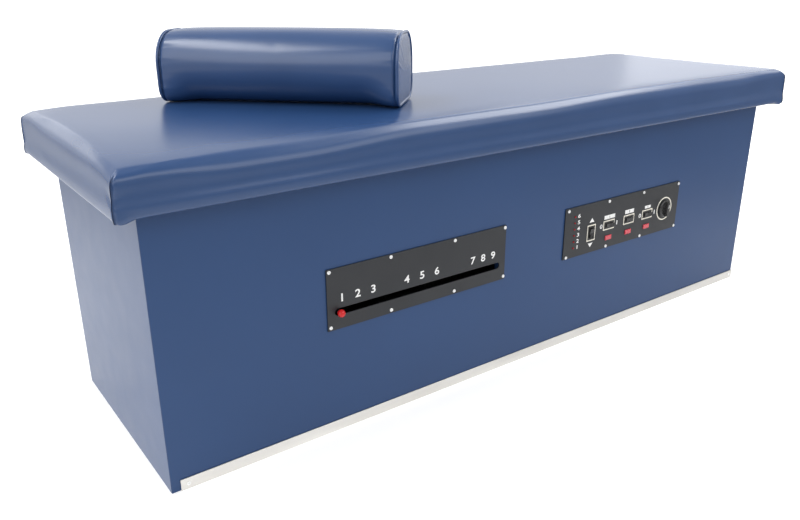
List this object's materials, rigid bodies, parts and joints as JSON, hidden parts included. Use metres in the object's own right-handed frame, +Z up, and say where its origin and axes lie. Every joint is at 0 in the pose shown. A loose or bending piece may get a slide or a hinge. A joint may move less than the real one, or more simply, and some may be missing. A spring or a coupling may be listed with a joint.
{
  "type": "roller massage table",
  "caption": "Upholstered treatment table on a closed cabinet, with powered rollers that travel and lift under the padded top, a position pointer, a control plate and a loose bolster.",
  "frame": {"origin": "on the floor under the middle of the cabinet", "axes": "+X from the head end to the foot end, -Y the front with the two plates, +Z up"},
  "size_m": [2.032, 0.6604, 0.8473],
  "materials": {
    "laminate": "satin",
    "chipboard": "matte",
    "plywood": "matte",
    "bright_trim": "satin",
    "foam": "matte",
    "vinyl": "satin",
    "bolster_vinyl": "satin",
    "plate": "satin",
    "zinc": "satin",
    "steel": "gloss",
    "alloy": "satin",
    "casting": "matte",
    "motor_black": "satin",
    "switch_black": "satin",
    "lens_red": "gloss",
    "pointer_red": "gloss",
    "roller_rubber": "matte",
    "belt_rubber": "matte"
  },
  "bodies": {
    "cabinet": {"front_panel": "laminate", "back_panel": "laminate", "head_end_panel": "laminate", "foot_end_panel": "laminate", "base_board": "chipboard", "kick_strip": "bright_trim", "deck_board": "plywood", "top_foam": "foam", "top_cover": "vinyl", "roller_plate": "plate", "control_plate": "plate", "control_box": "zinc", "lift_switch_body": "switch_black", "mode_switch_body": "switch_black", "start_button_body": "switch_black", "aux_switch_body": "switch_black", "indicator_lamp_1": "lens_red", "indicator_lamp_2": "lens_red", "indicator_lamp_3": "lens_red", "level_led_1": "lens_red", "level_led_2": "lens_red", "level_led_3": "lens_red", "level_led_4": "lens_red", "level_led_5": "lens_red", "level_led_6": "lens_red", "timer_body": "switch_black", "power_inlet": "switch_black", "rail_support_head": "alloy", "rail_support_foot": "alloy", "rail_front": "steel", "rail_back": "steel", "drive_belt": "belt_rubber", "idler_bracket": "zinc", "gearbox": "casting", "drive_motor": "motor_black"},
    "carriage": {"carriage_plate": "zinc", "slide_block_front": "alloy", "slide_block_back": "alloy", "drive_arm": "zinc", "belt_clamp": "zinc", "pointer_rod": "steel", "pointer_knob": "pointer_red", "lift_actuator": "alloy", "guide_post_head": "steel", "guide_post_foot": "steel"},
    "roller_head": {"roller_yoke": "zinc", "roller_axle": "steel", "lift_rod": "steel"},
    "roller_front": {"roller_front": "roller_rubber"},
    "roller_back": {"roller_back": "roller_rubber"},
    "drive_pulley": {"drive_pulley": "steel"},
    "idler_pulley": {"idler_pulley": "steel"},
    "lift_switch_rocker": {"lift_switch_rocker": "switch_black"},
    "mode_switch_rocker": {"mode_switch_rocker": "switch_black"},
    "aux_switch_rocker": {"aux_switch_rocker": "switch_black"},
    "start_button": {"start_button": "switch_black"},
    "timer_knob": {"timer_knob": "switch_black"},
    "bolster": {"bolster": "bolster_vinyl"}
  },
  "joints": [
    {"name": "carriage_travel", "type": "slide", "parent": "cabinet", "child": "carriage", "axis": [1, 0, 0], "range_m": [0, 0.4525]},
    {"name": "roller_lift", "type": "slide", "parent": "carriage", "child": "roller_head", "axis": [0, 0, 1], "range_m": [0, 0.045]},
    {"name": "roller_front_spin", "type": "hinge", "parent": "roller_head", "child": "roller_front", "pos_m": [-0.56945, -0.055, 0.5703], "axis": [0, 1, 0], "continuous": true},
    {"name": "roller_back_spin", "type": "hinge", "parent": "roller_head", "child": "roller_back", "pos_m": [-0.56945, 0.055, 0.5703], "axis": [0, 1, 0], "continuous": true},
    {"name": "drive_pulley_turn", "type": "hinge", "parent": "cabinet", "child": "drive_pulley", "pos_m": [-0.05695, 0, 0.09], "axis": [0, 1, 0], "range_deg": [-5, 975]},
    {"name": "idler_turn", "type": "hinge", "parent": "cabinet", "child": "idler_pulley", "pos_m": [-0.62945, 0, 0.09], "axis": [0, 1, 0], "range_deg": [-5, 975]},
    {"name": "lift_switch_tilt", "type": "hinge", "parent": "cabinet", "child": "lift_switch_rocker", "pos_m": [0.22672, -0.2827, 0.30453], "axis": [1, 0, 0], "range_deg": [-8, 8], "stiffness_Nm_per_rad": 0.2},
    {"name": "mode_switch_tilt", "type": "hinge", "parent": "cabinet", "child": "mode_switch_rocker", "pos_m": [0.29911, -0.2827, 0.31375], "axis": [0, 0, 1], "range_deg": [0, 16]},
    {"name": "aux_switch_tilt", "type": "hinge", "parent": "cabinet", "child": "aux_switch_rocker", "pos_m": [0.46416, -0.2827, 0.31375], "axis": [0, 0, 1], "range_deg": [0, 16]},
    {"name": "start_button_press", "type": "slide", "parent": "cabinet", "child": "start_button", "axis": [0, 1, 0], "range_m": [0, 0.0025], "stiffness_N_per_m": 400},
    {"name": "timer_turn", "type": "hinge", "parent": "cabinet", "child": "timer_knob", "pos_m": [0.54283, -0.2827, 0.31599], "axis": [0, 1, 0], "range_deg": [0, 300]},
    {"name": "bolster_lift", "type": "slide", "parent": "cabinet", "child": "bolster", "axis": [0, 0, 1], "range_m": [0, 0.2]}
  ],
  "couplings": [
    {"joint": "drive_pulley_turn", "follows": "carriage_travel", "rad_per_m": 37.313},
    {"joint": "idler_turn", "follows": "carriage_travel", "rad_per_m": 37.313}
  ]
}
